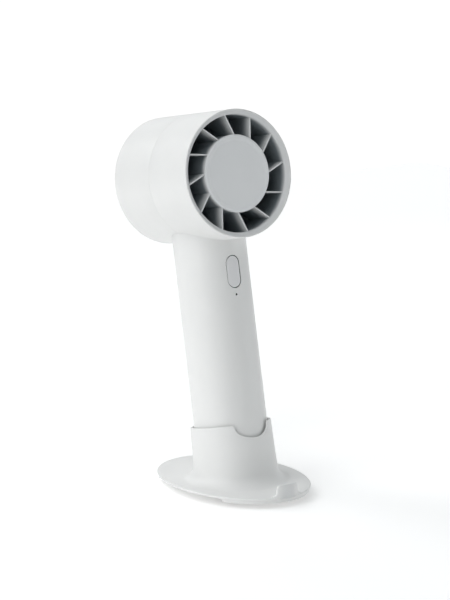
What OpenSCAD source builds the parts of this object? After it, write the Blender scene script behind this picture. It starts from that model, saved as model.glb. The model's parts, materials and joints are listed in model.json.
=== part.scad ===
// Handheld electric fan standing in its charging stand.
// Millimetres, +Z up, origin on the floor under the middle of the whole object, air leaves towards -Y.

/* [Fan head] */
// Outer radius of the head at the air outlet
head_r = 33.4; // [33:0.1:33.6]
// Depth of the head in front of the handle axis
head_front = 34; // [34:0.5:36]
// Depth of the head behind the handle axis
head_back = 32.5; // [32:0.5:35]
// Growth of the head radius from front to back
head_flare = 0.2; // [0:0.1:0.6]
// Number of fixed guide vanes in the air outlet
vane_count = 12; // [10:1:14]
// Angle between the two ends of a guide vane
vane_sweep = 12.5; // [8:0.5:14]
// Number of impeller blades
blade_count = 9; // [7:1:11]

/* [Handle] */
// Distance from the floor to the head centre along the handle
head_s = 165; // [164:1:172]
// Lean of the handle from the vertical in degrees
lean = 11.5; // [10:0.5:12.5]
// Length of the power button along the handle
button_len = 16.5; // [15:0.5:18]
// Width of the power button
button_wid = 7.7; // [7.5:0.1:8.6]

/* [Stand] */
// Length of the base plate from front to back
base_len = 97.6; // [94:0.4:102]
// Width of the base plate
base_wid = 70.8; // [69:0.4:76]
// Height of the cup rim, measured along the handle
cup_s = 35; // [33:0.5:38]
// Depth of the thumb scoop in the front of the cup rim
scoop_depth = 7.5; // [5:0.5:8.5]
// Height of the front lip above the plate
lip_h = 6.5; // [5:0.5:8]

/* [Hidden] */
$fn = 72;
eps = 0.01;
// handle
foot_y = -13.42;
handle_r = 19.25;
handle_in = 17.65;
foot_s = 16.3;
tube_s = 18.3;
button_s = 114.5;
button_gap = 0.4;
button_flange = 0.6;
led_s = 102.5;
// head
rear_r = head_r + head_flare;
seam_r = head_r + head_flare / 2;
head_in = 31.6;
lip_in = 30.5;
lip_d = 29.8;
hub_r = 20.2;
barrel_out = 20;
barrel_in = 19;
seam_gap = 0.25;
hub_d = head_front - 1.1;
vane_d = head_front - 2.5;
vane_w = 0.7;
vane_phase = 6;
edge_soft = 0.5;
lip_soft = 1;
lip_slope = 38;
cone_wide = head_r - lip_in - edge_soft - lip_soft + (lip_soft - edge_soft) * sin(lip_slope);
cone_d = head_front - edge_soft + (edge_soft - lip_soft) * cos(lip_slope) - cone_wide * tan(lip_slope);
guard_d = head_front - 7;
stator_d = 13;
liner_d = 10;
motor_wall = 6;
blade_hub_r = 19.4;
blade_tip_r = 30;
// stand
base_y = -9.02;
plate_top = 5.85;
plate_low = 4.7;
cup_in = 20.1;
cup_floor = 16;
cup_low_r = 22.0;
cup_top_r = 21.2;
cup_flare = 6.5;
scoop_half = 10.6;
scoop_soft = 0.9;
half_len = base_len / 2;
half_wid = base_wid / 2;
oval = base_len / base_wid;
cover_top = 4.6;
cover_low = 2.9;
cover_half = 27.9;
cover_side = 25.8;
foot_pos = [[17, 27], [-17, 27], [12, -22], [-12, -22]];
screw_pos = [[20, 13], [-20, 13], [20, -19], [-20, -19]];

// Handle frame: +Z along the handle from the floor, -Y towards the front
module tilt() translate([0, foot_y, 0]) rotate([-lean, 0, 0]) children();
// Base frame: centre of the oval plate
module base() translate([0, base_y, 0]) children();
// Head frame: +Z along the air flow, +Y up the handle
module head() tilt() translate([0, 0, head_s]) rotate([90, 0, 0]) children();
// Tube between two distances along Z
module tube(r_out, r_in, z0, z1) {
    translate([0, 0, z0]) difference() {
        cylinder(r = r_out, h = z1 - z0);
        translate([0, 0, -eps]) cylinder(r = r_in, h = z1 - z0 + 2 * eps);
    }
}
// Centred box from a low Z
module slab(x, y, z, w, l, h) translate([x - w / 2, y - l / 2, z]) cube([w, l, h]);
// Straight bar between two points of the XY plane
module bar(p, q, w) {
    d = q - p;
    translate(p) rotate(atan2(d[1], d[0])) translate([0, -w / 2]) square([norm(d), w]);
}
// Pill outline standing along Y
module pill(w, l) {
    for (k = [-1, 1]) translate([0, k * (l - w) / 2]) circle(d = w, $fn = 48);
    square([w, l - w], center = true);
}
// Pill prism through the front of the handle, y counted from its axis towards the front
module front_pill(w, l, y0, y1) {
    translate([0, -y0, button_s]) rotate([90, 0, 0]) linear_extrude(height = y1 - y0) pill(w, l);
}
// Quarter round as a list of points
function arc(cx, cy, r, a0, a1, n) = [
    for (i = [0:n]) [cx + r * cos(a0 + (a1 - a0) * i / n), cy + r * sin(a0 + (a1 - a0) * i / n)]];

// ---- stand ----
// Sheared solid of revolution that follows the leaning cup
module leaning() {
    multmatrix([[1, 0, 0, 0], [0, 1 / cos(lean), tan(lean), foot_y], [0, 0, 1, 0], [0, 0, 0, 1]])
        rotate_extrude($fn = 96) children();
}
module plate_outline(k) scale([1, oval, 1]) circle(r = half_wid * k, $fn = 96);
module plate() {
    scale([1, oval, 1]) rotate_extrude($fn = 96) polygon(concat(
        [[0, plate_low], [half_wid - 0.35, plate_low], [half_wid, plate_low + 0.35]],
        arc(half_wid - 0.7, plate_top - 0.7, 0.7, 0, 90, 4),
        [[0, plate_top]]));
}
module cup_outer() {
    r_foot = cup_low_r + cup_flare;
    leaning() polygon(concat(
        [[0, plate_low + 0.2], [r_foot, plate_low + 0.2], [r_foot, plate_top]],
        arc(r_foot, plate_top + cup_flare, cup_flare, 270, 180, 7),
        [[cup_top_r, cup_s + 2], [cup_top_r, cup_s + 14], [0, cup_s + 14]]));
}
// Half oval notch in the front of the cup rim, with softened corners
module scoop() {
    low = cup_s - scoop_soft;
    corner_x = scoop_half + scoop_soft;
    rotate([90, 0, 0]) linear_extrude(height = 40) {
        translate([0, low]) scale([scoop_half, scoop_depth - scoop_soft]) circle(r = 1, $fn = 72);
        difference() {
            translate([-corner_x, low]) square([2 * corner_x, scoop_soft + 1]);
            for (k = [-1, 1]) translate([k * corner_x, low]) circle(r = scoop_soft, $fn = 32);
        }
    }
}
// Upright front lip with a flared foot, outline in XZ
module lip_outline() {
    w = 6.6;
    flare = 2.6;
    corner = 2.6;
    top = plate_top + lip_h;
    right = concat(
        [[0, plate_top - 0.6], [w + flare, plate_top - 0.6], [w + flare, plate_top]],
        arc(w + flare, plate_top + flare, flare, 270, 180, 5),
        arc(w - corner, top - corner, corner, 0, 90, 5),
        [[0, top]]);
    polygon(right);
    mirror([1, 0]) polygon(right);
}
module front_lip() {
    intersection() {
        translate([0, -half_len + 6, 0]) rotate([90, 0, 0]) linear_extrude(height = 8) lip_outline();
        scale([1, oval, 1]) tube(half_wid - 0.2, half_wid - 1.6, 0, plate_top + lip_h + 1, $fn = 96);
    }
}
module stand_shell() {
    color("white") difference() {
        union() {
            base() plate();
            base() front_lip();
            cup_outer();
        }
        tilt() translate([0, 0, cup_floor]) cylinder(r = cup_in, h = 60);
        tilt() translate([0, 0, -10]) cylinder(r = 17.5, h = cup_floor - 2 + 10);
        tilt() slab(0, 0, cup_s, 70, 70, 30);
        tilt() scoop();
        base() slab(0, 0, -5, 90, 110, plate_low + 5);
        for (x = [-9, 9]) tilt() translate([x, 0, 10]) cylinder(r = 1.2, h = 8, $fn = 24);
        base() inlet_hole();
        for (p = screw_pos) base() translate([p[0], p[1], plate_low - eps]) {
            cylinder(r = 0.9, h = 0.8, $fn = 24);
        }
    }
}
module inlet_hole() slab(0, 18, 7.2, 9.8, 12, 3.9);
// Oval cut off at both sides, a little wider at its front and back than between them
module cover_outline(k) {
    corner_y = half_len * k * sqrt(1 - pow(cover_half / (half_wid * k), 2));
    side_y = corner_y - cover_half + cover_side;
    right = [[cover_side, 0], [cover_side, side_y], [cover_half, corner_y], [cover_half, half_len]];
    intersection() {
        plate_outline(k);
        for (x = [0, 1]) for (y = [0, 1]) mirror([x, 0]) mirror([0, y]) {
            polygon(concat([[0, 0]], right, [[0, half_len]]));
        }
    }
}
module bottom_cover() {
    color("whitesmoke") base() difference() {
        translate([0, 0, cover_low]) linear_extrude(height = cover_top - cover_low) cover_outline(0.985);
        difference() {
            translate([0, 0, cover_low + 0.7]) linear_extrude(height = 3) ballast_outline(0.4);
            for (p = screw_pos) translate(p) cylinder(r = 3, h = 9, $fn = 32);
        }
        for (p = screw_pos) {
            translate([p[0], p[1], 0]) cylinder(r = 1.1, h = 9, $fn = 24);
            translate([p[0], p[1], 0]) cylinder(r = 2.1, h = cover_low + 0.9, $fn = 24);
        }
        for (p = foot_pos) translate([p[0], p[1], 0]) cylinder(r = 5.1, h = cover_low + 0.4, $fn = 48);
    }
}
module ballast_outline(grow) {
    intersection() {
        scale([1, 1.42, 1]) circle(r = 28 + grow, $fn = 72);
        square([2 * (24.5 + grow), 2 * (38 + grow)], center = true);
    }
}
module ballast_plate() {
    color("gray") base() difference() {
        translate([0, 0, cover_low + 0.75]) linear_extrude(height = 0.9) ballast_outline(0);
        for (p = screw_pos) translate([p[0], p[1], 0]) cylinder(r = 3.4, h = 9, $fn = 32);
    }
}
module rubber_feet() {
    color("dimgray") base() for (p = foot_pos) translate([p[0], p[1], 0]) {
        cylinder(r1 = 4.5, r2 = 5, h = 0.5, $fn = 48);
        translate([0, 0, 0.5]) cylinder(r = 5, h = cover_low - 0.15, $fn = 48);
    }
}
module cover_screws() {
    color("silver") base() for (p = screw_pos) translate([p[0], p[1], cover_low]) difference() {
        union() {
            translate([0, 0, -0.3]) cylinder(r = 1.9, h = 1.15, $fn = 24);
            cylinder(r = 0.85, h = 2.3, $fn = 24);
        }
        translate([0, 0, -0.4]) cylinder(r = 0.8, h = 0.9, $fn = 6);
    }
}
module base_board() {
    color("darkgreen") base() intersection() {
        slab(0, -1, 5.2, 22, 27, 1.2);
        translate([0, -1, 0]) cylinder(r = 15.5, h = 20);
    }
}
module inlet_port() {
    color("silver") base() translate([0, 12.2, 9.1]) rotate([-90, 0, 0]) difference() {
        linear_extrude(height = 7.4) rotate(90) pill(3.2, 8.9);
        translate([0, 0, 1]) linear_extrude(height = 7) rotate(90) pill(2.5, 8.3);
    }
    color("silver") base() slab(0, 12.9, 6.4, 6, 1.4, 1.3);
}
module pin_block() {
    color("black") tilt() difference() {
        slab(0, 0, cup_floor - 5, 24, 5, 2.9);
        for (x = [-9, 9]) translate([x, 0, 0]) cylinder(r = 0.95, h = 20, $fn = 24);
    }
}
module contact_pins() {
    color("gold") tilt() for (x = [-9, 9]) translate([x, 0, cup_floor - 5.2]) {
        cylinder(r = 0.9, h = 5, $fn = 24);
    }
}
module pin_wires() {
    color("red") base() for (x = [-9, 9]) translate([x, -2.3, 6.4]) cylinder(r = 0.5, h = 4, $fn = 16);
}

// ---- fan, outside ----
module front_profile() {
    polygon(concat(
        [[head_in, 0], [seam_r, 0]],
        arc(head_r - edge_soft, head_front - edge_soft, edge_soft, 0, 90 + lip_slope, 5),
        arc(lip_in + lip_soft, cone_d, lip_soft, 90 + lip_slope, 180, 3),
        [[lip_in, lip_d], [head_in, lip_d]]));
}
module body_shell() {
    color("white") difference() {
        union() {
            difference() {
                tilt() translate([0, 0, tube_s]) cylinder(r = handle_r, h = head_s - tube_s);
                head() translate([0, 0, -60]) cylinder(r = head_in, h = 120);
            }
            head() rotate_extrude() front_profile();
        }
        tilt() translate([0, 0, tube_s - 1]) cylinder(r = handle_in, h = head_s - tube_s - 12);
        tilt() front_pill(button_wid + 2 * button_gap, button_len + 2 * button_gap, 10, 30);
        tilt() translate([0, -10, led_s]) rotate([90, 0, 0]) cylinder(r = 0.6, h = 20, $fn = 24);
    }
}
module rear_shell() {
    color("white") difference() {
        head() rotate_extrude() polygon(concat(
            [[head_in, -seam_gap], [31.5, -seam_gap], [31.5, 2.5], [30.8, 2.5], [30.8, -4], [head_in, -5],
             [head_in, 1.6 - head_back], [30.2, 1.6 - head_back], [30.2, -head_back]],
            arc(rear_r - 1, 1 - head_back, 1, 270, 360, 4),
            [[seam_r, -seam_gap]]));
        tilt() translate([0, 0, head_s - 60]) cylinder(r = handle_r + 0.2, h = 60);
    }
}
module intake_grille() {
    z0 = 0.2 - head_back;
    z1 = 1.9 - head_back;
    color("gainsboro") head() {
        for (r = [12.5, 17, 21.5, 26]) tube(r + 0.6, r - 0.6, z0, z1, $fn = 48);
        tube(30.1, 28.6, z0, z1);
        tube(31.4, 28.6, z1, z1 + 1.2);
        translate([0, 0, z0]) cylinder(r = 8.5, h = z1 - z0, $fn = 48);
        for (i = [0:11]) rotate(i * 30) translate([8, -0.6, z0 + 0.2]) cube([21, 1.2, z1 - z0 - 0.2]);
    }
}
// Swept vanes between the barrel and the duct wall, each its own solid
module vanes(z0, z1) {
    root = 19 * [sin(vane_phase), cos(vane_phase)];
    tip = 32 * [sin(vane_phase - vane_sweep), cos(vane_phase - vane_sweep)];
    for (i = [0:vane_count - 1]) rotate(-i * 360 / vane_count) intersection() {
        translate([0, 0, z0]) linear_extrude(height = z1 - z0) bar(root, tip, vane_w);
        tube(lip_in - 0.02, barrel_out + 0.02, z0 - 1, z1 + 1);
    }
}
module guide_vanes() {
    color("white") head() vanes(guard_d, vane_d);
}
// Way through the duct wall, the strut and the barrel for the motor's wires
module wire_slot() slab(0, -25, 10.4, 3.8, 14, 1.6);
module hub_sleeve() {
    color("white") head() tube(barrel_out, barrel_in, guard_d, vane_d);
}
module stator_vanes() {
    color("dimgray") head() vanes(stator_d, guard_d - 0.02);
}
module duct_liner() {
    color("dimgray") head() difference() {
        tube(head_in - 0.1, lip_in, liner_d, lip_d - 0.02);
        wire_slot();
    }
}
// Cup that holds the motor
module stator_barrel() {
    color("dimgray") head() difference() {
        union() {
            tube(barrel_out, barrel_in, motor_wall, guard_d - 0.02);
            translate([0, 0, motor_wall]) cylinder(r = barrel_out, h = 1.6);
        }
        translate([0, 0, 5]) cylinder(r = 3.6, h = 4, $fn = 32);
        for (a = [90, 210, 330]) rotate(a) translate([8, 0, 5]) cylinder(r = 1.1, h = 4, $fn = 24);
        wire_slot();
    }
}
// One hollow strut for the motor's wires and two plain ones
module stator_struts() {
    color("dimgray") head() difference() {
        intersection() {
            union() {
                slab(0, -25.3, 9.5, 5, 12, 3.4);
                for (a = [-120, 120]) rotate(a) slab(0, -25.3, 9.5, 1.6, 12, 3.4);
            }
            tube(lip_in - 0.02, barrel_out + 0.02, 9, 14);
        }
        wire_slot();
    }
}
module hub_cap() {
    z0 = vane_d + 0.1;
    color("white") head() rotate_extrude() polygon(concat(
        [[0, z0], [17.6, z0], [17.6, z0 - 3], [18.8, z0 - 3], [18.8, z0], [hub_r - 0.2, z0]],
        arc(hub_r - 0.5, hub_d - 0.5, 0.5, 0, 90, 4),
        [[18.5, hub_d], [17.9, hub_d - 0.15], [17.5, hub_d - 0.5], [0, hub_d - 0.5]]));
}
module end_cap() {
    color("white") tilt() difference() {
        rotate_extrude() polygon(concat(
            [[0, foot_s], [handle_r - 1.2, foot_s]],
            arc(handle_r - 1.2, foot_s + 1.2, 1.2, 270, 360, 4),
            [[handle_r, tube_s - 0.1], [handle_in - 0.1, tube_s - 0.1], [handle_in - 0.1, tube_s + 2.6],
             [16.2, tube_s + 2.6], [16.2, tube_s - 0.1], [0, tube_s - 0.1]]));
        translate([0, 0, foot_s - 1]) linear_extrude(height = 4) rotate(90) pill(3.4, 9.2);
        for (x = [-9, 9]) translate([x, 0, foot_s - 1]) cylinder(r = 1.6, h = 4, $fn = 32);
    }
}
module power_button() {
    color("white") tilt() {
        intersection() {
            front_pill(button_wid, button_len, 15.4, 20);
            cylinder(r = handle_r, h = 200);
        }
        front_pill(button_wid + 2 * button_flange, button_len + 2 * button_flange, 15.4, 16.6);
        translate([0, -15.1, button_s]) rotate([90, 0, 0]) cylinder(r = 1.4, h = 0.8, $fn = 24);
    }
}
module light_pipe() {
    color("dimgray") tilt() translate([0, -11.4, led_s]) rotate([90, 0, 0]) {
        cylinder(r = 0.5, h = 7.8, $fn = 24);
    }
}

// ---- fan, air path and motor ----
module impeller_shroud() {
    color("dimgray") head() rotate_extrude() polygon([[30.6, -18], [30.6, 9.8], [31.4, 9.8], [31.4, 3],
        [30.7, 3], [30.7, -5.2], [31.2, -6], [31.5, -22], [31.2, -22]]);
}
module motor_mount() {
    color("silver") head() difference() {
        union() {
            translate([0, 0, 4.4]) cylinder(r = 11, h = 1.55);
            translate([0, 0, -10.5]) cylinder(r = 3.2, h = 16.4, $fn = 48);
        }
        translate([0, 0, -11]) cylinder(r = 2.52, h = 3.1, $fn = 48);
        translate([0, 0, 3.4]) cylinder(r = 2.52, h = 3, $fn = 48);
        translate([0, 0, -11]) cylinder(r = 1.6, h = 18, $fn = 32);
        for (a = [90, 210, 330]) rotate(a) translate([8, 0, 0]) cylinder(r = 0.8, h = 9, $fn = 24);
    }
}
module bearings() {
    color("lightgray") head() {
        tube(2.5, 1.04, -10.45, -7.95, $fn = 48);
        tube(2.5, 1.04, 3.45, 5.9, $fn = 48);
    }
}
module stator_core() {
    color("slategray") head() translate([0, 0, -8]) linear_extrude(height = 7) difference() {
        union() {
            circle(r = 5.6, $fn = 48);
            for (i = [0:8]) rotate(i * 40) translate([5, -0.9]) square([7, 1.8]);
            for (i = [0:8]) rotate(i * 40) intersection() {
                difference() {
                    circle(r = 13.2);
                    circle(r = 11.9);
                }
                translate([8, -3.7]) square([7, 7.4]);
            }
        }
        circle(r = 3.22, $fn = 48);
    }
}
module windings() {
    color("peru") head() for (i = [0:8]) rotate(i * 40) difference() {
        slab(8.9, 0, -8.9, 5, 3.9, 8.8);
        slab(8.9, 0, -8.02, 6, 1.84, 7.04);
    }
}
module motor_board() {
    color("darkgreen") head() tube(12.5, 3.3, 0.6, 1.8);
}
module motor_screws() {
    color("silver") head() for (a = [90, 210, 330]) rotate(a) translate([8, 0, 0]) difference() {
        union() {
            translate([0, 0, 7.65]) cylinder(r = 1.9, h = 1.3, $fn = 24);
            translate([0, 0, 4.5]) cylinder(r = 0.78, h = 4, $fn = 24);
        }
        translate([0, 0, 8.3]) cylinder(r = 0.8, h = 1, $fn = 6);
    }
}
module motor_plug() {
    color("ivory") head() slab(0, -15, 7.65, 7, 4.4, 5.6);
}
module motor_wires() {
    color("red") tilt() for (x = [-1.2, 0, 1.2]) translate([x, -11.2, 121]) {
        cylinder(r = 0.45, h = head_s - 138.3, $fn = 16);
    }
}
module impeller() {
    color("dimgray") head() rotate_extrude() polygon([[0, -19.5], [7, -18.6], [13, -16.4], [17.5, -13.4],
        [blade_hub_r, -10.5], [blade_hub_r, 3.6], [18.2, 3.6], [18.2, -10], [17.1, -11.2], [17.1, 2.6],
        [16.05, 2.6], [16.05, -13.2], [0, -13.2]]);
}
module impeller_blades() {
    color("dimgray") head() for (i = [0:blade_count - 1]) rotate(i * 360 / blade_count) intersection() {
        translate([24, 0, -4]) rotate([48, 0, 0]) cube([14, 1.1, 15], center = true);
        tube(blade_tip_r, blade_hub_r + 0.02, -10.4, 3.5);
    }
}
module rotor_bell() {
    color("silver") head() rotate_extrude() polygon([[1.005, -13], [16, -13], [16, 2.4], [15, 2.4], [15, -12],
        [3, -12], [3, -10.9], [1.005, -10.9]]);
}
module magnet_ring() {
    color("dimgray") head() tube(14.98, 13.7, -9.5, 1.5);
}
module shaft() {
    color("silver") head() translate([0, 0, -13]) cylinder(r = 1, h = 20.4, $fn = 48);
}
module shaft_clip() {
    color("gray") head() tube(2.2, 1.005, 6.3, 6.7, $fn = 32);
}

// ---- inside the handle ----
module charge_pads() {
    color("gold") tilt() for (x = [-9, 9]) translate([x, 0, foot_s + 0.2]) cylinder(r = 1.5, h = 3, $fn = 32);
}
module usb_port() {
    color("silver") tilt() translate([0, 0, foot_s + 0.2]) difference() {
        linear_extrude(height = 7.4) rotate(90) pill(3.2, 8.9);
        translate([0, 0, -eps]) linear_extrude(height = 6.4) rotate(90) pill(2.5, 8.3);
    }
}
module port_board() {
    color("darkgreen") tilt() translate([0, 0, 24.1]) cylinder(r = 15, h = 1.2);
}
module chassis() {
    color("lightgray") tilt() {
        slab(0, -4.6, 26.2, 26, 1.2, 102);
        for (s = [26.2, 97.2]) intersection() {
            slab(0, 6.4, s, 36, 23, 1.4);
            cylinder(r = handle_in - 0.15, h = 200);
        }
        for (x = [-9, 9]) for (s = [34, 122]) difference() {
            translate([x, -5.1, s]) rotate([90, 0, 0]) cylinder(r = 1.8, h = 4, $fn = 24);
            translate([x, -5.1, s]) rotate([90, 0, 0]) cylinder(r = 0.75, h = 5, $fn = 24);
        }
    }
}
module battery_cell() {
    color("steelblue") tilt() translate([0, 6.3, 29.4]) {
        cylinder(r = 9.2, h = 65);
        translate([0, 0, 65]) cylinder(r = 3, h = 1, $fn = 32);
    }
}
module battery_tabs() {
    color("silver") tilt() {
        slab(0, 6.3, 29, 8, 14, 0.35);
        slab(0, 6.3, 95.5, 8, 14, 0.3);
    }
}
module battery_wires() {
    color("red") tilt() {
        translate([12.4, 0, 30]) cylinder(r = 0.55, h = 64, $fn = 16);
        translate([-12.4, 0, 30]) cylinder(r = 0.55, h = 64, $fn = 16);
    }
}
module main_board() {
    color("darkgreen") tilt() difference() {
        slab(0, -9.75, 30, 22, 1.2, 96);
        for (x = [-9, 9]) for (s = [34, 122]) translate([x, -5, s]) rotate([90, 0, 0]) {
            cylinder(r = 0.95, h = 8, $fn = 24);
        }
    }
}
module board_screws() {
    color("silver") tilt() for (x = [-9, 9]) for (s = [34, 122]) translate([x, -6, s]) rotate([90, 0, 0]) {
        cylinder(r = 0.7, h = 4.4, $fn = 24);
        translate([0, 0, 4.37]) cylinder(r = 1.6, h = 1, $fn = 24);
    }
}
module button_switch() {
    color("black") tilt() {
        slab(0, -11.7, button_s - 3, 6, 2.6, 6);
        translate([0, -12.9, button_s]) rotate([90, 0, 0]) cylinder(r = 1.6, h = 1.1, $fn = 32);
    }
}
module status_led() {
    color("ivory") tilt() slab(0, -10.8, led_s - 0.8, 0.9, 0.85, 1.6);
}
module control_chip() {
    color("black") tilt() slab(0, -10.85, 84, 6, 0.9, 6);
}
module power_inductor() {
    color("dimgray") tilt() slab(0, -11.6, 66, 7, 2.4, 7);
}
module capacitors() {
    color("slategray") tilt() for (x = [-5, 5]) translate([x, -10.4, 52]) rotate([90, 0, 0]) {
        cylinder(r = 2, h = 3.4, $fn = 32);
    }
}

stand_shell();
bottom_cover();
ballast_plate();
rubber_feet();
cover_screws();
base_board();
inlet_port();
pin_block();
contact_pins();
pin_wires();
body_shell();
rear_shell();
intake_grille();
guide_vanes();
hub_sleeve();
hub_cap();
duct_liner();
stator_barrel();
stator_struts();
stator_vanes();
impeller_shroud();
motor_mount();
bearings();
stator_core();
windings();
motor_board();
motor_screws();
motor_plug();
motor_wires();
end_cap();
charge_pads();
usb_port();
port_board();
chassis();
battery_cell();
battery_tabs();
battery_wires();
main_board();
board_screws();
button_switch();
status_led();
light_pipe();
control_chip();
power_inductor();
capacitors();
power_button();
impeller();
impeller_blades();
rotor_bell();
magnet_ring();
shaft();
shaft_clip();
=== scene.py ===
# Handheld electric fan in its charging stand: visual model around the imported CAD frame.
import json
import math

import bmesh
import bpy
from mathutils import Matrix, Vector


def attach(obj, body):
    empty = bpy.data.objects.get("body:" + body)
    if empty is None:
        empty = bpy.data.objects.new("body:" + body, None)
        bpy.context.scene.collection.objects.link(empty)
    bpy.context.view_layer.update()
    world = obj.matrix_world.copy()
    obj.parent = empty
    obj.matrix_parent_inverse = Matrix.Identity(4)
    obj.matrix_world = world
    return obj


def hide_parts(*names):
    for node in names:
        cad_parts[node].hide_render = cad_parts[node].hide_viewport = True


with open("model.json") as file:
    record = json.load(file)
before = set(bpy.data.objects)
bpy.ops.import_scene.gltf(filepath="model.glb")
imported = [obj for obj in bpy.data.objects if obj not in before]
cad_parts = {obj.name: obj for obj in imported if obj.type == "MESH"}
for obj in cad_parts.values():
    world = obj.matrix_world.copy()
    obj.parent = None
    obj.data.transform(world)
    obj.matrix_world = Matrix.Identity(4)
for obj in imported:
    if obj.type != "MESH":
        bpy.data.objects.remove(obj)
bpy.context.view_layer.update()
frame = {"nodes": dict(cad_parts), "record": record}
NODES = frame["nodes"]

# ---------------------------------------------------------------- sizes, millimetres, as in part.scad
# Heights ending in _S run along the handle from the floor, depths ending in _D run forwards from its axis.
LEAN = math.radians(11.5)
FOOT_Y, BASE_Y = -13.42, -9.02
HANDLE_R, HANDLE_IN, TUBE_S = 19.25, 17.65, 18.3
# head
HEAD_S, HEAD_R, HEAD_FRONT, HEAD_BACK = 165.0, 33.4, 34.0, 32.5
EDGE_SOFT, LIP_SOFT, LIP_SLOPE = 0.5, 1.0, 38.0
HEAD_IN, LIP_IN, LIP_D = 31.6, 30.5, 29.8
SEAM_R, REAR_R, SEAM_GAP, SEAM_SOFT = 33.5, 33.6, 0.1, 0.07
STEP_IN, STEP_OUT, STEP_D = 30.8, 31.5, 2.5
REAR_SOFT, REAR_IN, REAR_WALL = 1.0, 30.2, 1.6
HUB_R, HUB_D, HUB_SOFT = 20.2, 32.9, 0.9
SPIGOT_OUT, SPIGOT_IN, HUB_THICK, SPIGOT_END = 18.8, 17.6, 1.4, 4.2
# button and light
BUTTON_S, BUTTON_W, BUTTON_L, BUTTON_GAP = 114.5, 7.7, 16.5, 0.4
BUTTON_SUNK, BUTTON_EDGE, BUTTON_DEEP = 0.05, 0.42, 3.0
LED_S, LED_HOLE, LED_R, LED_FOOT_D = 102.5, 0.62, 0.5, 11.4
CUT_DEPTHS = (14.0, 24.0)
# stand
PLATE_TOP, PLATE_LOW = 5.85, 4.7
HALF_X, HALF_Y = 35.4, 48.8
PLATE_EDGE_LOW, PLATE_EDGE_TOP = 0.3, 0.6
CUP_IN, CUP_FLOOR, CUP_S = 20.1, 16.0, 35.0
CUP_LOW_R, CUP_TOP_R, FLARE = 22.0, 21.2, 6.5
RIM_OUT_SOFT, RIM_IN_SOFT = 0.45, 0.6
SCOOP_DEPTH, SCOOP_HALF, SCOOP_SOFT = 7.5, 10.6, 0.9
HOLLOW_R, CUP_FLOOR_THICK = 17.0, 2.0
LIP_H, LIP_HALF, LIP_FLARE, LIP_CORNER = 6.5, 6.6, 2.6, 2.6
LIP_THICK, LIP_EDGE, LIP_INSET = 1.5, 0.6, 0.15

MM = Matrix.Diagonal((0.001, 0.001, 0.001, 1.0))
TILT = MM @ Matrix.Translation((0, FOOT_Y, 0)) @ Matrix.Rotation(-LEAN, 4, "X")
FORWARD = Matrix.Rotation(math.pi / 2, 4, "X")
HEAD = TILT @ Matrix.Translation((0, 0, HEAD_S)) @ FORWARD


# ---------------------------------------------------------------- mesh helpers
def finish_mesh(name, bm, place, sharp=35.0):
    """bmesh in millimetres to an object in metres, smooth shaded up to an angle."""
    bmesh.ops.remove_doubles(bm, verts=bm.verts, dist=0.0005)
    bmesh.ops.recalc_face_normals(bm, faces=bm.faces)
    me = bpy.data.meshes.new(name)
    bm.to_mesh(me)
    bm.free()
    me.transform(place)
    smooth(me, sharp)
    ob = bpy.data.objects.new(name, me)
    bpy.context.scene.collection.objects.link(ob)
    return ob


def smooth(me, sharp):
    for p in me.polygons:
        p.use_smooth = True
    me.set_sharp_from_angle(angle=math.radians(sharp))


def angles(count):
    """Angles in radians, evenly round a circle."""
    return [2 * math.pi * k / count for k in range(count)]


def arc(cx, cy, r, a0, a1, n):
    """Points of an arc between two angles in degrees."""
    return [(cx + r * math.cos(math.radians(a0 + (a1 - a0) * i / n)),
             cy + r * math.sin(math.radians(a0 + (a1 - a0) * i / n))) for i in range(n + 1)]


def grid(bm, rows, wrap=False, close=False):
    """Quads between rows of points. wrap joins each row's ends, close joins the last row to the first."""
    made = [[bm.verts.new(p) for p in row] for row in rows]
    pairs = list(zip(made[:-1], made[1:])) + ([(made[-1], made[0])] if close else [])
    for a, b in pairs:
        n = len(a)
        for i in range(n if wrap else n - 1):
            j = (i + 1) % n
            q = [a[i], a[j], b[j], b[i]]
            if len({v.co.to_tuple(5) for v in q}) >= 3:
                try:
                    bm.faces.new(q)
                except ValueError:
                    pass
    return made


def band(bm, a, b):
    """Quads between two closed rings of vertices."""
    for i in range(len(a)):
        j = (i + 1) % len(a)
        bm.faces.new([a[i], b[i], b[j], a[j]])


def lathe(name, profile, place, seg, closed=True):
    """Turns a profile of (radius, height) round Z."""
    bm = bmesh.new()
    rows = [[(r * math.sin(a), -r * math.cos(a), z) for a in angles(seg)] for r, z in profile]
    grid(bm, rows, wrap=True, close=closed)
    return finish_mesh(name, bm, place)


def apply_modifiers(ob):
    dg = bpy.context.evaluated_depsgraph_get()
    me = bpy.data.meshes.new_from_object(ob.evaluated_get(dg))
    old = ob.data
    ob.modifiers.clear()
    ob.data = me
    me.name = ob.name
    bpy.data.meshes.remove(old)


def join(obs, name):
    bpy.ops.object.select_all(action="DESELECT")
    for o in obs:
        o.select_set(True)
    bpy.context.view_layer.objects.active = obs[0]
    bpy.ops.object.join()
    obs[0].name = name
    return obs[0]


# ---------------------------------------------------------------- materials
def node_tree(name):
    mat = bpy.data.materials.new(name)
    mat.use_nodes = True
    nt = mat.node_tree
    nt.nodes.clear()
    out = nt.nodes.new("ShaderNodeOutputMaterial")
    bsdf = nt.nodes.new("ShaderNodeBsdfPrincipled")
    nt.links.new(bsdf.outputs[0], out.inputs[0])
    return mat, nt, bsdf


def noise(nt, scale, detail=2.0, rough=0.5, stretch=None):
    tc = nt.nodes.new("ShaderNodeTexCoord")
    n = nt.nodes.new("ShaderNodeTexNoise")
    n.inputs["Scale"].default_value = scale
    n.inputs["Detail"].default_value = detail
    n.inputs["Roughness"].default_value = rough
    place = tc.outputs["Object"]
    if stretch:
        mp = nt.nodes.new("ShaderNodeMapping")
        mp.inputs["Scale"].default_value = stretch
        nt.links.new(place, mp.inputs[0])
        place = mp.outputs[0]
    nt.links.new(place, n.inputs["Vector"])
    return n.outputs["Fac"]


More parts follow.
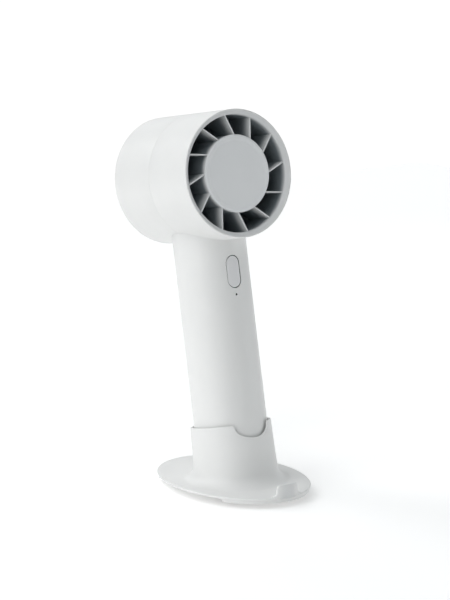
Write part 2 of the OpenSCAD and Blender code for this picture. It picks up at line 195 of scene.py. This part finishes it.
def remap(nt, fac, lo, hi, from_lo=0.3, from_hi=0.7, way="LINEAR"):
    m = nt.nodes.new("ShaderNodeMapRange")
    m.interpolation_type = way
    m.inputs["From Min"].default_value = from_lo
    m.inputs["From Max"].default_value = from_hi
    m.inputs["To Min"].default_value = lo
    m.inputs["To Max"].default_value = hi
    nt.links.new(fac, m.inputs["Value"])
    return m.outputs["Result"]


def tint(nt, fac, a, b):
    """Colour between a and b over the middle of a noise's range."""
    ramp = nt.nodes.new("ShaderNodeValToRGB")
    for element, position, colour in zip(ramp.color_ramp.elements, (0.35, 0.65), (a, b)):
        element.position = position
        element.color = (*colour, 1)
    nt.links.new(fac, ramp.inputs["Fac"])
    return ramp.outputs["Color"]


def bump(nt, height, strength, distance):
    b = nt.nodes.new("ShaderNodeBump")
    b.inputs["Strength"].default_value = strength
    b.inputs["Distance"].default_value = distance
    nt.links.new(height, b.inputs["Height"])
    return b.outputs["Normal"]


DRIFT_SCALE, COAT_ROUGH = 60.0, 0.15
SKIN_DEPTH = (0.0012, 0.0011, 0.001)


def surface(name, col, spread, rough, rough_spread, metallic=0.0, grain=9000.0, grain_depth=0.00001,
            grain_strength=0.25, stretch=None, coat=0.0, sss=0.0):
    """A moulded, brushed or cast surface: slow colour drift, roughness drift and a fine grain in the bump."""
    mat, nt, b = node_tree(name)
    drift = noise(nt, DRIFT_SCALE, 4.0, 0.6)
    lo = tuple(c * (1 - spread) for c in col)
    hi = tuple(min(1.0, c * (1 + spread)) for c in col)
    nt.links.new(tint(nt, drift, lo, hi), b.inputs["Base Color"])
    fine = noise(nt, grain, 3.0, 0.55, stretch)
    nt.links.new(remap(nt, fine, rough - rough_spread, rough + rough_spread), b.inputs["Roughness"])
    nt.links.new(bump(nt, fine, grain_strength, grain_depth), b.inputs["Normal"])
    b.inputs["Metallic"].default_value = metallic
    b.inputs["Coat Weight"].default_value = coat
    b.inputs["Coat Roughness"].default_value = COAT_ROUGH
    if sss:
        b.inputs["Subsurface Weight"].default_value = sss
        b.inputs["Subsurface Radius"].default_value = SKIN_DEPTH
    return mat


def paint_shade(mat, place, near, far, deep, reach=None):
    """Paints shade into a material's colour along Z of a place: its own colour at height near, the deep shade
    colour at height far.

    With a reach, only what is closer to the Z axis than that changes. All three are in millimetres.
    """
    nt = mat.node_tree
    b = next(n for n in nt.nodes if n.type == "BSDF_PRINCIPLED")
    own = b.inputs["Base Color"].links[0].from_socket
    axis = (place.to_3x3() @ Vector((0, 0, 1))).normalized()

    def vector_math(operation, first, second):
        n = nt.nodes.new("ShaderNodeVectorMath")
        n.operation = operation
        nt.links.new(first, n.inputs[0])
        n.inputs[1].default_value = second
        return n

    tc = nt.nodes.new("ShaderNodeTexCoord")
    local = vector_math("SUBTRACT", tc.outputs["Object"], place.translation).outputs["Vector"]
    depth = vector_math("DOT_PRODUCT", local, axis).outputs["Value"]
    fac = remap(nt, depth, 0.0, 1.0, near * 0.001, far * 0.001, "SMOOTHSTEP")
    if reach:
        out = nt.nodes.new("ShaderNodeVectorMath")
        out.operation = "LENGTH"
        nt.links.new(vector_math("CROSS_PRODUCT", local, axis).outputs["Vector"], out.inputs[0])
        inside = nt.nodes.new("ShaderNodeMath")
        inside.operation = "LESS_THAN"
        inside.inputs[1].default_value = reach * 0.001
        nt.links.new(out.outputs["Value"], inside.inputs[0])
        both = nt.nodes.new("ShaderNodeMath")
        both.operation = "MULTIPLY"
        nt.links.new(fac, both.inputs[0])
        nt.links.new(inside.outputs[0], both.inputs[1])
        fac = both.outputs[0]
    mix = nt.nodes.new("ShaderNodeMix")
    mix.data_type = "RGBA"
    mix.inputs[7].default_value = (*deep, 1)
    nt.links.new(fac, mix.inputs[0])
    nt.links.new(own, mix.inputs[6])
    nt.links.new(mix.outputs[2], b.inputs["Base Color"])


def board_material(name):
    """Green solder mask over copper tracks, which show as slightly raised lighter lines."""
    mat, nt, b = node_tree(name)
    tc = nt.nodes.new("ShaderNodeTexCoord")
    brick = nt.nodes.new("ShaderNodeTexBrick")
    brick.inputs["Scale"].default_value = 260.0
    brick.inputs["Mortar Size"].default_value = 0.035
    brick.inputs["Color1"].default_value = (0.01, 0.13, 0.06, 1)
    brick.inputs["Color2"].default_value = (0.012, 0.15, 0.07, 1)
    brick.inputs["Mortar"].default_value = (0.05, 0.27, 0.12, 1)
    nt.links.new(tc.outputs["Object"], brick.inputs["Vector"])
    nt.links.new(brick.outputs["Color"], b.inputs["Base Color"])
    nt.links.new(bump(nt, brick.outputs["Fac"], 0.3, 0.00003), b.inputs["Normal"])
    fine = noise(nt, 3000.0)
    nt.links.new(remap(nt, fine, 0.25, 0.4), b.inputs["Roughness"])
    b.inputs["Coat Weight"].default_value = 0.4
    return mat


WHITE = (0.80, 0.80, 0.79)
COVER_WHITE = (0.78, 0.78, 0.77)
HUB_WHITE = (0.81, 0.82, 0.825)
BUTTON_WHITE = (0.785, 0.785, 0.79)
AIR_WHITE = (0.78, 0.785, 0.78)
# Painted shade deep in the air path.
DUCT_PAINTED_SHADE = (0.255, 0.285, 0.305)
# Painted shade on front-facing faces: the head's sloping rim and the stand lip's front face.
FRONT_PAINTED_SHADE = (0.70, 0.705, 0.705)
# Painted shade in the gap round the button.
GAP_PAINTED_SHADE = (0.05, 0.05, 0.05)

# name: colour, its spread, roughness, its spread, then what differs from a plain moulding
PLASTICS = {
    "shell_white": (WHITE, 0.008, 0.42, 0.04, dict(grain=5200, grain_depth=0.000012, sss=0.03)),
    "stand_white": (WHITE, 0.008, 0.44, 0.04, dict(grain=5200, grain_depth=0.000012, sss=0.03)),
    "cover_white": (COVER_WHITE, 0.01, 0.5, 0.05, dict(grain=4200, grain_depth=0.000014)),
    "grille_white": (HUB_WHITE, 0.008, 0.45, 0.04, dict(grain=5200)),
    "outlet_white": (AIR_WHITE, 0.008, 0.45, 0.04, dict(grain=5200)),
    "vane": (AIR_WHITE, 0.008, 0.45, 0.04, dict(grain=5200)),
    "button_white": (BUTTON_WHITE, 0.01, 0.36, 0.04, dict(grain=6200)),
    # The dark_plastic slot gets the airway white here; its dark grey inside the duct is painted shade, added
    # below.
    "dark_plastic": (AIR_WHITE, 0.01, 0.5, 0.08, dict(grain=3800, grain_depth=0.00002)),
    "chassis_grey": ((0.32, 0.33, 0.34), 0.05, 0.55, 0.06, dict(grain=3500, grain_depth=0.00002)),
    "black_plastic": ((0.012, 0.012, 0.013), 0.15, 0.45, 0.08, dict(grain=4200, grain_depth=0.00002)),
    "rubber": ((0.025, 0.025, 0.026), 0.2, 0.8, 0.08, dict(grain=2600, grain_depth=0.00004)),
    "cell_wrap": ((0.02, 0.10, 0.36), 0.08, 0.24, 0.04, dict(grain=700, grain_depth=0.00002, coat=0.5)),
    "wire_red": ((0.45, 0.012, 0.012), 0.08, 0.35, 0.05, dict(grain=2400)),
    "lens": ((0.01, 0.01, 0.012), 0.1, 0.12, 0.03, dict(grain=2000, grain_depth=0.000004, coat=0.6)),
    "ivory": ((0.72, 0.68, 0.56), 0.04, 0.4, 0.05, dict(grain=3200)),
}
# name: colour, its spread, roughness, its spread, metallic, grain scale and depth, then what differs
METALS = {
    "steel": ((0.55, 0.56, 0.57), 0.05, 0.3, 0.08, 1.0, 1400, 0.00001,
              dict(grain_strength=0.3, stretch=(1, 30, 1))),
    "screw_steel": ((0.42, 0.43, 0.45), 0.06, 0.35, 0.08, 1.0, 2500, 0.00001, {}),
    "port_steel": ((0.68, 0.68, 0.7), 0.04, 0.22, 0.05, 1.0, 1800, 0.000008, dict(stretch=(1, 1, 20))),
    "mount_alu": ((0.7, 0.71, 0.72), 0.04, 0.32, 0.06, 1.0, 1500, 0.00001, dict(stretch=(1, 25, 1))),
    "laminated": ((0.3, 0.31, 0.33), 0.1, 0.4, 0.1, 1.0, 900, 0.00003,
                  dict(grain_strength=0.6, stretch=(1, 8, 1))),
    "magnet": ((0.07, 0.07, 0.075), 0.15, 0.55, 0.08, 0.4, 2400, 0.00002, {}),
    "copper": ((0.62, 0.24, 0.09), 0.12, 0.28, 0.08, 0.9, 1900, 0.00004,
               dict(grain_strength=0.8, stretch=(1, 14, 1))),
    "gold": ((0.83, 0.6, 0.2), 0.06, 0.22, 0.05, 1.0, 2600, 0.000008, {}),
    "can": ((0.55, 0.57, 0.6), 0.05, 0.25, 0.05, 1.0, 2000, 0.000008, {}),
}
MATS = {"board": board_material("board")}
for table in (PLASTICS, METALS):
    for name, (*plain, own) in table.items():
        MATS[name] = surface(name, *plain, **own)

# Painted shade in the air path: the white is painted darker inwards, to dark grey a few millimetres behind
# the front edges, where the duct lies in shade.
paint_shade(MATS["outlet_white"], HEAD, 31.7, 27.9, DUCT_PAINTED_SHADE)
paint_shade(MATS["dark_plastic"], HEAD, 33.1, 28.2, DUCT_PAINTED_SHADE)
paint_shade(MATS["vane"], HEAD, 31.9, 23.5, DUCT_PAINTED_SHADE)
# Painted shade on the head's sloping rim, which faces the front: it is a little darker than its side. Painted
# duct shade darkens the duct wall behind it, as in the air path.
paint_shade(MATS["shell_white"], HEAD, 34.2, 33.6, FRONT_PAINTED_SHADE, HEAD_R - EDGE_SOFT)
paint_shade(MATS["shell_white"], HEAD, 33.1, 28.2, DUCT_PAINTED_SHADE, LIP_IN + 0.5 * LIP_SOFT)
# The same painted shade darkens the front face of the stand's lip, in the last half millimetre or so of the
# stand's front.
LIP_FACE = MM @ Matrix.Translation((0, 0, 9.0)) @ FORWARD
paint_shade(MATS["stand_white"], LIP_FACE, 57.0, 57.6, FRONT_PAINTED_SHADE, 8.0)
# Painted shade in the gap round the button: its walls behind the handle's skin are painted dark. From 128 mm
# up nothing changes.
paint_shade(MATS["shell_white"], TILT, 128.0, 126.0, GAP_PAINTED_SHADE, HANDLE_R - 0.35)
paint_shade(MATS["button_white"], TILT, 128.0, 126.0, GAP_PAINTED_SHADE, HANDLE_R - 0.5)


def piece(ob, body, slot, *nodes):
    ob.data.materials.clear()
    ob.data.materials.append(MATS[slot])
    if nodes:
        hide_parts(*nodes)
    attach(ob, body)


# ---------------------------------------------------------------- stand
def rim_s(phi):
    """Height of the cup rim along the handle, at an angle round the cup from its front."""
    x = abs(CUP_TOP_R * math.sin(phi))
    low = CUP_S - SCOOP_SOFT
    corner = SCOOP_HALF + SCOOP_SOFT
    if math.cos(phi) <= 0 or x >= corner:
        return CUP_S
    if x > SCOOP_HALF:
        return low + math.sqrt(max(0.0, SCOOP_SOFT ** 2 - (corner - x) ** 2))
    return low - (SCOOP_DEPTH - SCOOP_SOFT) * math.sqrt(1 - (x / SCOOP_HALF) ** 2)


def make_stand():
    """Oval plate that flares up into the leaning cup, in one skin from the underside to the cup's floor."""
    phis = angles(288)
    tan, cos, sin = math.tan(LEAN), math.cos(LEAN), math.sin(LEAN)

    def oval(half_x, half_y, z):
        return [(half_x * math.sin(p), BASE_Y - half_y * math.cos(p), z) for p in phis]

    def outer(r, z, phi):
        """Point of a level ring that follows the lean."""
        return (r * math.sin(phi), FOOT_Y + z * tan - r * math.cos(phi) / cos, z)

    def inner(r, s, phi):
        """Point of a ring square to the handle."""
        x, fore = r * math.sin(phi), r * math.cos(phi)
        return (x, FOOT_Y + s * sin - fore * cos, s * cos + fore * sin)

    # plate
    rows = [oval(HALF_X * k, HALF_Y * k, PLATE_LOW) for k in (0.86, 0.98)]
    rows += [oval(HALF_X + dr, HALF_Y + dr, z)
             for dr, z in (arc(-PLATE_EDGE_LOW, PLATE_LOW + PLATE_EDGE_LOW, PLATE_EDGE_LOW, 270, 360, 4)
                           + arc(-PLATE_EDGE_TOP, PLATE_TOP - PLATE_EDGE_TOP, PLATE_EDGE_TOP, 0, 90, 6))]
    edge = oval(HALF_X - PLATE_EDGE_TOP, HALF_Y - PLATE_EDGE_TOP, PLATE_TOP)
    foot_r = CUP_LOW_R + FLARE
    foot = [outer(foot_r, PLATE_TOP, p) for p in phis]
    for t in (0.25, 0.5, 0.75):
        rows.append([tuple(a + (b - a) * t for a, b in zip(e, f)) for e, f in zip(edge, foot)])
    # flare and outside of the cup
    for r, z in arc(foot_r, PLATE_TOP + FLARE, FLARE, 270, 180, 14):
        rows.append([outer(r, z, p) for p in phis])
    tops = [rim_s(p) for p in phis]
    z_low = PLATE_TOP + FLARE
    z_full = (CUP_S + CUP_TOP_R * sin / cos) * cos

    def wall_r(z):
        return CUP_LOW_R + (CUP_TOP_R - CUP_LOW_R) * (z - z_low) / (z_full - z_low)

    walls = [(s - RIM_OUT_SOFT) * cos + CUP_TOP_R * math.cos(p) * sin for p, s in zip(phis, tops)]
    for t in (0.2, 0.4, 0.6, 0.8, 0.93, 1.0):
        heights = [z_low + (z - z_low) * t for z in walls]
        rows.append([outer(wall_r(z), z, p) for p, z in zip(phis, heights)])
    # rim, inside and floor of the cup
    for a in (20, 45, 70, 90):
        in_by = RIM_OUT_SOFT * (1 - math.cos(math.radians(a)))
        down_by = RIM_OUT_SOFT * (1 - math.sin(math.radians(a)))
        rows.append([inner(wall_r(z) - in_by, s - down_by, p) for p, s, z in zip(phis, tops, walls)])
    for dr, ds in arc(RIM_IN_SOFT, -RIM_IN_SOFT, RIM_IN_SOFT, 90, 180, 5):
        rows.append([inner(CUP_IN + dr, s + ds, p) for p, s in zip(phis, tops)])
    floor_edge = CUP_FLOOR + 0.6
    for t in (0.35, 0.7, 1.0):
        rows.append([inner(CUP_IN, (s - RIM_IN_SOFT) * (1 - t) + floor_edge * t, p)
                     for p, s in zip(phis, tops)])
    for r, up in ((CUP_IN - 0.25, 0.2), (CUP_IN - 0.8, 0.0), (12.0, 0.0), (6.0, 0.0)):
        rows.append([inner(r, CUP_FLOOR + up, p) for p in phis])
    bm = bmesh.new()
    made = grid(bm, rows, wrap=True)
    bm.faces.new(made[-1])
    # hollow for the circuit board under the cup's floor
    under = made[0]
    mouth = [bm.verts.new((v.co.x * 0.55, BASE_Y + (v.co.y - BASE_Y) * 0.45 - 3.0, PLATE_LOW)) for v in under]
    roof = [bm.verts.new(inner(HOLLOW_R, CUP_FLOOR - CUP_FLOOR_THICK, p)) for p in phis]
    band(bm, under, mouth)
    band(bm, mouth, roof)
    bm.faces.new(roof)
    return finish_mesh("stand_shell_skin", bm, MM, 40.0)


def lip_half_width(h):
    """Half width of the front lip at a height above the plate."""
    if h < LIP_FLARE:
        return LIP_HALF + LIP_FLARE - math.sqrt(max(0.0, LIP_FLARE ** 2 - (LIP_FLARE - h) ** 2))
    if h > LIP_H - LIP_CORNER:
        return LIP_HALF - LIP_CORNER + math.sqrt(max(0.0, LIP_CORNER ** 2 - (h - LIP_H + LIP_CORNER) ** 2))
    return LIP_HALF


def make_lip():
    """Upright lip on the front of the plate, bent along the plate's oval edge."""
    heights = [-0.9, -0.3, 0.0, 0.15, 0.4, 0.8, 1.3, 1.9, 2.6, 3.2, 3.9]
    heights += [LIP_H - LIP_CORNER + LIP_CORNER * math.sin(math.radians(a))
                for a in (10, 20, 30, 40, 50, 58, 66, 74, 80, 85, 88)]
    cols = 20
    k = 1 - LIP_INSET / HALF_X

    def place(x, h, depth):
        y = BASE_Y - HALF_Y * k * math.sqrt(1 - (x / (HALF_X * k)) ** 2) + depth
        return (x, y, PLATE_TOP + h)

    def sheet(depth):
        out = []
        for h in heights:
            w = lip_half_width(max(h, 0.0)) - LIP_EDGE
            top = min(h, LIP_H - LIP_EDGE)
            out.append([place(w * (2 * i / cols - 1), top, depth) for i in range(cols + 1)])
        return out

    def border(rows):
        return [r[0] for r in rows] + rows[-1][1:-1] + [r[-1] for r in reversed(rows)]

    bm = bmesh.new()
    front, back = sheet(0.0), sheet(LIP_THICK)
    grid(bm, front)
    grid(bm, back)
    outline = border(front)
    last = len(outline) - 1
    # rounded edge between the two faces, in a quarter round at each of them
    turns = [(a, LIP_EDGE) for a in (22.5, 45, 67.5, 90)]
    turns += [(a, LIP_THICK - LIP_EDGE) for a in (90, 112.5, 135, 157.5)]
    rings = [outline]
    for a, start in turns:
        grow = LIP_EDGE * math.sin(math.radians(a))
        depth = start - LIP_EDGE * math.cos(math.radians(a))
        ring = []
        for i, (x, y, z) in enumerate(outline):
            p, q = outline[max(0, i - 1)], outline[min(last, i + 1)]
            tx, tz = q[0] - p[0], q[2] - p[2]
            length = math.hypot(tx, tz) or 1.0
            ring.append((x - grow * tz / length, y + depth, z + grow * tx / length))
        rings.append(ring)
    grid(bm, rings + [border(back)])
    return finish_mesh("front_lip_skin", bm, MM, 50.0)


stand_skin = join([make_stand(), make_lip()], "stand_shell_skin")

# ---------------------------------------------------------------- fan shells
SLOPE_SIN, SLOPE_COS = math.sin(math.radians(LIP_SLOPE)), math.cos(math.radians(LIP_SLOPE))
CONE_WIDE = HEAD_R - LIP_IN - (EDGE_SOFT + LIP_SOFT) + (LIP_SOFT - EDGE_SOFT) * SLOPE_SIN
CONE_D = HEAD_FRONT - EDGE_SOFT + (EDGE_SOFT - LIP_SOFT) * SLOPE_COS - CONE_WIDE * SLOPE_SIN / SLOPE_COS


def head_radius(d):
    return SEAM_R - d * (SEAM_R - HEAD_R) / HEAD_FRONT


def front_profile():
    """Front half of the head: seam edge, side, rounded rim that slopes inwards, and duct wall."""
    seam_in = 0.12
    return ([(HEAD_IN, seam_in), (HEAD_IN + seam_in, 0.0)]
            + arc(SEAM_R - SEAM_SOFT, SEAM_SOFT, SEAM_SOFT, 270, 360, 3)
            + [(head_radius(HEAD_FRONT * t), HEAD_FRONT * t) for t in (0.25, 0.5, 0.75, 0.95)]
            + arc(HEAD_R - EDGE_SOFT, HEAD_FRONT - EDGE_SOFT, EDGE_SOFT, 0, 90 + LIP_SLOPE, 12)
            + arc(LIP_IN + LIP_SOFT, CONE_D, LIP_SOFT, 90 + LIP_SLOPE, 180, 5)
            + [(LIP_IN, LIP_D + 0.6), (LIP_IN, LIP_D), (HEAD_IN, LIP_D), (HEAD_IN, 20.0), (HEAD_IN, 8.0)])


def rear_profile():
    """Rear half of the head: step that enters the front half, side, rounded back edge, grille seat."""
    seat = REAR_WALL - HEAD_BACK
    return ([(HEAD_IN, -5.0), (STEP_IN, -4.0), (STEP_IN, STEP_D), (STEP_OUT, STEP_D), (STEP_OUT, -SEAM_GAP)]
            + arc(SEAM_R - SEAM_SOFT, -SEAM_GAP - SEAM_SOFT, SEAM_SOFT, 90, 0, 3)
            + [(SEAM_R + (REAR_R - SEAM_R) * t, -HEAD_BACK * t) for t in (0.3, 0.6, 0.9)]
            + arc(REAR_R - REAR_SOFT, REAR_SOFT - HEAD_BACK, REAR_SOFT, 360, 270, 8)
            + [(31.0, -HEAD_BACK), (REAR_IN + 0.15, -HEAD_BACK), (REAR_IN, 0.15 - HEAD_BACK), (REAR_IN, seat),
               (HEAD_IN, seat)])


def hub_profile():
    """Disc sunk half a millimetre inside a rounded edge, with a spigot behind."""
    face = ((0.0, 0.5), (8.0, 0.5), (15.0, 0.5), (16.9, 0.48), (17.4, 0.42), (17.8, 0.25), (18.1, 0.1),
            (18.5, 0.02), (19.0, 0.0))
    behind = ((HUB_R, HUB_THICK - 0.1), (HUB_R - 0.1, HUB_THICK), (SPIGOT_OUT, HUB_THICK),
              (SPIGOT_OUT, SPIGOT_END), (SPIGOT_IN, SPIGOT_END), (SPIGOT_IN, HUB_THICK), (0.0, HUB_THICK))
    return ([(r, HUB_D - drop) for r, drop in face]
            + arc(HUB_R - HUB_SOFT, HUB_D - HUB_SOFT, HUB_SOFT, 90, 0, 8)
            + [(r, HUB_D - drop) for r, drop in behind])


def saddle(phi, r=HANDLE_R):
    """Point where the handle meets the head, in the handle frame; phi runs from the front."""
    x, y = r * math.sin(phi), -r * math.cos(phi)
    return Vector((x, y, HEAD_S - math.sqrt(head_radius(-y) ** 2 - x * x)))


def pill_outline(w, length, n=20):
    r, h = w / 2, (length - w) / 2
    return arc(0, h, r, 0, 180, n) + arc(0, -h, r, 180, 360, n)


def cutter(name, outline, height):
    """Prism through the front wall of the handle."""
    bm = bmesh.new()
    ends = [[(x, -y, height + z) for x, z in outline] for y in CUT_DEPTHS]
    grid(bm, ends, wrap=True)
    for end in ends:
        bm.faces.new([bm.verts.new(p) for p in end])
    return finish_mesh(name, bm, TILT)


def make_handle():
    """Handle tube up to its joint with the head, with the button's opening and the light's hole cut in it."""
    phis = angles(192)
    overlap = Vector((0, 0, 0.9))

    def ring(r, s):
        return [(r * math.sin(p), -r * math.cos(p), s) for p in phis]

    rows = [ring(HANDLE_R - 0.12, TUBE_S), ring(HANDLE_R, TUBE_S + 0.12)]
    rows += [ring(HANDLE_R, s) for s in (40, 60, 80, 96, 126)]
    rows += [[tuple(saddle(p, r) + overlap) for p in phis] for r in (HANDLE_R, HANDLE_IN)]
    rows += [ring(HANDLE_IN, s) for s in (126, 96, 60, TUBE_S)]
    bm = bmesh.new()
    grid(bm, rows, wrap=True, close=True)
    tube = finish_mesh("body_shell_skin", bm, TILT)

    opening = pill_outline(BUTTON_W + 2 * BUTTON_GAP, BUTTON_L + 2 * BUTTON_GAP)
    hole = [(LED_HOLE * math.cos(a), LED_HOLE * math.sin(a)) for a in angles(24)]
    cutters = [cutter("cutter", opening, BUTTON_S), cutter("drill", hole, LED_S)]
    for c in cutters:
        m = tube.modifiers.new("cut", "BOOLEAN")
        m.operation = "DIFFERENCE"
        m.solver = "EXACT"
        m.object = c
    apply_modifiers(tube)
    for c in cutters:
        bpy.data.objects.remove(c)
    exact_normals(tube, TILT, HANDLE_R)
    return tube


def exact_normals(ob, place, radius):
    """Gives the handle's round outside the cylinder's own normals, so the cuts leave no shading marks."""
    me = ob.data
    smooth(me, 35.0)
    inv = place.inverted()
    rot = place.to_3x3().normalized()
    normals = [Vector(n.vector) for n in me.corner_normals]
    for p in me.polygons:
        c = inv @ p.center
        nl = (rot.inverted() @ p.normal).normalized()
        rad = Vector((c.x, c.y, 0))
        if abs(rad.length - radius) < 0.08 and abs(nl.z) < 0.05 and abs(nl.dot(rad.normalized())) > 0.98:
            sign = 1 if nl.dot(rad) > 0 else -1
            for li in p.loop_indices:
                v = inv @ me.vertices[me.loops[li].vertex_index].co
                normals[li] = (rot @ Vector((v.x, v.y, 0)).normalized()) * sign
    me.normals_split_custom_set([n.normalized() for n in normals])


def make_blend_strip():
    """Small concave fillet where the handle runs into the front half of the head."""
    reach = 0.9
    lift = 0.004
    n = 120
    rows = []
    for k in range(n + 1):
        phi = math.radians(-90 + 180 * k / n)
        p = saddle(phi)
        n1 = Vector((math.sin(phi), -math.cos(phi), 0))
        n2 = Vector((p.x, 0, p.z - HEAD_S)).normalized()
        t = n1.cross(n2).normalized()
        d1 = n1.cross(t).normalized()
        d1 = d1 if d1.z < 0 else -d1
        d2 = n2.cross(t).normalized()
        d2 = d2 if d2.dot(n1) > 0 else -d2
        size = reach * min(1.0, 0.25 + 1.2 * math.cos(phi))
        a, b = p + d1 * size, p + d2 * size
        rows.append([tuple(a * (1 - u) ** 2 + p * 2 * u * (1 - u) + b * u * u + (n1 + n2) * lift)
                     for u in (0, 0.15, 0.3, 0.45, 0.6, 0.8, 1.0)])
    bm = bmesh.new()
    grid(bm, rows)
    return finish_mesh("neck_blend", bm, TILT, 180.0)


def make_button():
    """Pill cap whose face follows the handle's curve, with a rounded edge."""
    face = BUTTON_W / 2 - BUTTON_EDGE
    steps = [(0.0, -BUTTON_DEEP), (0.0, -0.35), (0.05, -0.2), (0.13, -0.1), (0.25, -0.03), (BUTTON_EDGE, 0.0)]
    steps += [(BUTTON_EDGE + face * t, 0.0) for t in (0.12, 0.25, 0.4, 0.55, 0.7, 0.85, 0.98)]
    rows = []
    for inset, drop in steps:
        outline = pill_outline(BUTTON_W - 2 * inset, BUTTON_L - 2 * inset)
        rows.append([(x, -(math.sqrt((HANDLE_R - BUTTON_SUNK) ** 2 - x * x) + drop), BUTTON_S + z)
                     for x, z in outline])
    bm = bmesh.new()
    made = grid(bm, rows, wrap=True)
    bm.faces.new(made[-1])
    bm.faces.new(made[0])
    return finish_mesh("power_button_skin", bm, TILT, 60.0)


body_skin = join([make_handle(), lathe("head_front", front_profile(), HEAD, 192), make_blend_strip()],
                 "body_shell_skin")
rear_skin = lathe("rear_shell_skin", rear_profile(), HEAD, 192)
hub_skin = lathe("hub_cap_skin", hub_profile(), HEAD, 160, closed=False)
button_skin = make_button()
lens_skin = lathe("light_pipe_skin",
                  [(0.0, 7.6), (0.3, 7.58), (0.45, 7.5), (LED_R, 7.35), (LED_R, 0.0), (0.0, 0.0)],
                  TILT @ Matrix.Translation((0, -LED_FOOT_D, LED_S)) @ FORWARD, 32, closed=False)

piece(body_skin, "fan", "shell_white", "body_shell")
piece(rear_skin, "fan", "shell_white", "rear_shell")
piece(hub_skin, "fan", "grille_white", "hub_cap")
piece(lens_skin, "fan", "lens", "light_pipe")
piece(button_skin, "button", "button_white", "power_button")
piece(stand_skin, "stand", "stand_white", "stand_shell")

# ---------------------------------------------------------------- CAD nodes that stay: shading and material
SLOT_OF = {s["node"]: s["material_slot"] for s in frame["record"]["subparts"]}
OWN_LOOK = {"guide_vanes": "vane", "stator_vanes": "vane", "hub_sleeve": "outlet_white"}
for name, ob in NODES.items():
    if not ob.hide_render:
        smooth(ob.data, 30)
        ob.data.materials.clear()
        ob.data.materials.append(MATS[OWN_LOOK.get(name, SLOT_OF[name])])

# ---------------------------------------------------------------- floor, light, camera, in metres
FLOOR_HALF = 0.72
floor_mesh = bpy.data.meshes.new("floor")
bm = bmesh.new()
bmesh.ops.create_grid(bm, x_segments=1, y_segments=1, size=FLOOR_HALF)
bm.to_mesh(floor_mesh)
bm.free()
floor = bpy.data.objects.new("floor", floor_mesh)
bpy.context.scene.collection.objects.link(floor)
floor_mat, _, floor_bsdf = node_tree("floor_white")
floor_bsdf.inputs["Base Color"].default_value = (0.95, 0.948, 0.945, 1)
floor_bsdf.inputs["Roughness"].default_value = 0.9
floor_bsdf.inputs["Specular IOR Level"].default_value = 0.1
floor_bsdf.inputs["Emission Color"].default_value = (1, 1, 1, 1)
floor_bsdf.inputs["Emission Strength"].default_value = 0.235
floor.data.materials.append(floor_mat)

# A white studio is seen behind the object, and a faint cool light fills its shadows.
world = bpy.data.worlds.new("studio")
bpy.context.scene.world = world
world.use_nodes = True
wnt = world.node_tree
wnt.nodes.clear()
wout = wnt.nodes.new("ShaderNodeOutputWorld")
path = wnt.nodes.new("ShaderNodeLightPath")
shown = wnt.nodes.new("ShaderNodeMixShader")
wnt.links.new(path.outputs["Is Camera Ray"], shown.inputs[0])
for slot, colour, strength in ((1, (0.4, 0.8, 1.0, 1), 0.045), (2, (1, 1, 1, 1), 1.05)):
    background = wnt.nodes.new("ShaderNodeBackground")
    background.inputs["Color"].default_value = colour
    background.inputs["Strength"].default_value = strength
    wnt.links.new(background.outputs[0], shown.inputs[slot])
wnt.links.new(shown.outputs[0], wout.inputs[0])


def heading(azimuth, elevation):
    """Direction from the object; azimuth 0 is in front of it and positive is to its right, in degrees."""
    a, e = math.radians(azimuth), math.radians(elevation)
    return Vector((math.sin(a) * math.cos(e), -math.cos(a) * math.cos(e), math.sin(e)))


def add(name, data, location, facing=None):
    ob = bpy.data.objects.new(name, data)
    ob.location = location
    if facing is not None:
        ob.rotation_euler = facing.to_track_quat("-Z", "Y").to_euler()
    bpy.context.scene.collection.objects.link(ob)
    return ob


LAMP_SIZE, LAMP_DISTANCE, LAMP_AIM = 1.0, 1.6, Vector((0, 0, 0.1))
# name, azimuth, elevation, watts
SOFT_BOXES = (
    ("key_left", -100, 45, 8.2), ("side_left", -85, 12, 5.0), ("front_left", -55, 45, 4.2),
    ("front_low", -55, 12, 1.4), ("back_left", -150, 40, 7.0), ("top", 0, 80, 3.4),
    ("front_right", 60, 12, 5.25), ("side_right", 90, 45, 1.4), ("low_right", 110, 12, 3.7),
    ("back_right", 150, 35, 3.5), ("back_low", 160, 12, 2.1),
)
for name, azimuth, elevation, power in SOFT_BOXES:
    box = bpy.data.lights.new(name, "AREA")
    box.shape = "SQUARE"
    box.size = LAMP_SIZE
    box.energy = power
    out = heading(azimuth, elevation)
    add(name, box, LAMP_AIM + out * LAMP_DISTANCE, -out)

# Lamps straight above two round patches of floor, where the object keeps the lamps on its left from reaching.
# Their cones stay clear of it. Name, x, y, height, radius of the patch, watts.
for name, x, y, height, radius, power in (("floor_near", 0.165, -0.03, 0.6, 0.125, 1.5),
                                          ("floor_far", 0.44, 0.2, 1.0, 0.38, 1.7)):
    spot = bpy.data.lights.new(name, "SPOT")
    spot.energy = power
    spot.spot_size = 2 * math.atan2(radius, height)
    spot.spot_blend = 0.6
    spot.shadow_soft_size = 0.02
    add(name, spot, (x, y, height))

cam_data = bpy.data.cameras.new("camera")
cam_data.sensor_width = 36.0
cam_data.lens = 195.7896
cam_data.clip_start = 0.05
cam = add("camera", cam_data, (-0.97352, -1.35523, 0.45934), -heading(-35.72, 12.18))
bpy.context.scene.camera = cam
bpy.context.scene.view_settings.view_transform = "Standard"
